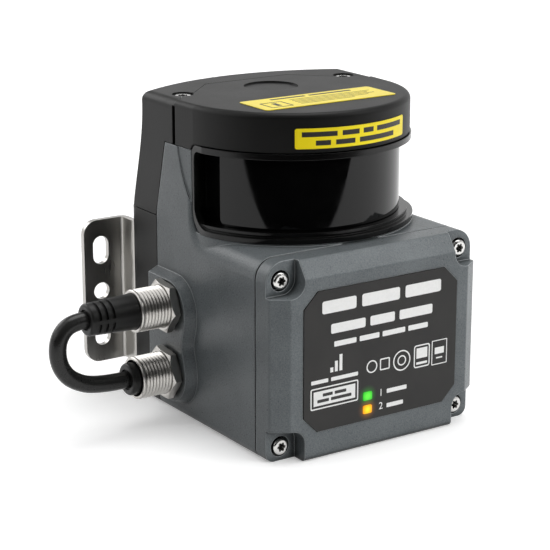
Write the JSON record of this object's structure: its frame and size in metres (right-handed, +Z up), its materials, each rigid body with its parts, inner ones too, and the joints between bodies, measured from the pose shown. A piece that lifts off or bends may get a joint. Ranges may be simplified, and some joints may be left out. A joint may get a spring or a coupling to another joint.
{
  "type": "safety laser scanner",
  "caption": "Compact safety laser scanner: grey cast base, curved dark window under a black cap, label plate with indicators, side sockets joined by a short lead, steel wall bracket.",
  "frame": {"origin": "scan axis of the mirror, on the plane of the base", "axes": "+Z up along the scan axis, -Y out of the front cover, -X out of the sockets"},
  "size_m": [0.1781, 0.1299, 0.1359],
  "materials": {
    "grey_casting": "fine textured powder coat",
    "black_shell": "fine matte grain",
    "black_frame": "semi-gloss",
    "dark_window": "polished, dark",
    "label_black": "satin film",
    "yellow_label": "satin film",
    "nickel": "satin nickel plate",
    "stainless": "rolled sheet",
    "screw_steel": "bright",
    "cable_jacket": "satin",
    "plug_black": "matte",
    "green_lens": "lit",
    "amber_lens": "lit",
    "gasket_rubber": "matte",
    "circuit_board": "solder mask",
    "contact_brass": "plated",
    "insert_plastic": "moulded",
    "bare_aluminium": "machined",
    "bearing_steel": "ground",
    "lamination": "stamped sheet",
    "copper_wire": "enamelled wire",
    "magnet": "sintered",
    "mirror_face": "polished",
    "lens_glass": "clear"
  },
  "bodies": {
    "housing": {"lower_housing": "grey_casting", "front_cover": "grey_casting", "head_cap": "black_shell", "rear_shroud": "black_shell", "rear_cover": "black_shell", "window_frame": "black_frame", "scan_window": "dark_window", "front_label_plate": "label_black", "top_label": "yellow_label", "brow_label": "yellow_label", "upper_socket": "nickel", "lower_socket": "nickel", "upper_socket_nut": "nickel", "lower_socket_nut": "nickel", "mounting_bracket": "stainless", "front_cover_screws": "screw_steel", "head_screws": "screw_steel", "rear_cover_screws": "screw_steel", "bracket_screws": "screw_steel", "window_frame_screws": "screw_steel", "main_board_screws": "screw_steel", "indicator_board_screws": "screw_steel", "motor_frame_screws": "screw_steel", "lens_barrel_screws": "screw_steel", "jumper_cable": "cable_jacket", "upper_plug": "plug_black", "lower_plug": "plug_black", "power_indicator": "green_lens", "status_indicator": "amber_lens", "front_cover_gasket": "gasket_rubber", "window_gasket": "gasket_rubber", "socket_seals": "gasket_rubber", "main_board": "circuit_board", "io_board": "circuit_board", "indicator_board": "circuit_board", "encoder_board": "circuit_board", "receiver_board": "circuit_board", "socket_pins": "contact_brass", "upper_insert": "insert_plastic", "lower_insert": "insert_plastic", "motor_frame": "bare_aluminium", "lens_barrel": "bare_aluminium", "lower_bearing": "bearing_steel", "upper_bearing": "bearing_steel", "laser_tube": "bearing_steel", "stator_core": "lamination", "stator_coils": "copper_wire", "receiver_lens": "lens_glass"},
    "rotor": {"spindle": "bearing_steel", "rotor_cup": "bearing_steel", "ring_magnet": "magnet", "scan_mirror": "mirror_face", "mirror_carrier": "bare_aluminium", "encoder_disc": "bearing_steel"}
  },
  "joints": [
    {"name": "mirror_spin", "type": "hinge", "parent": "housing", "child": "rotor", "pos_m": [0, 0, 0.1], "axis": [0, 0, 1], "continuous": true}
  ]
}
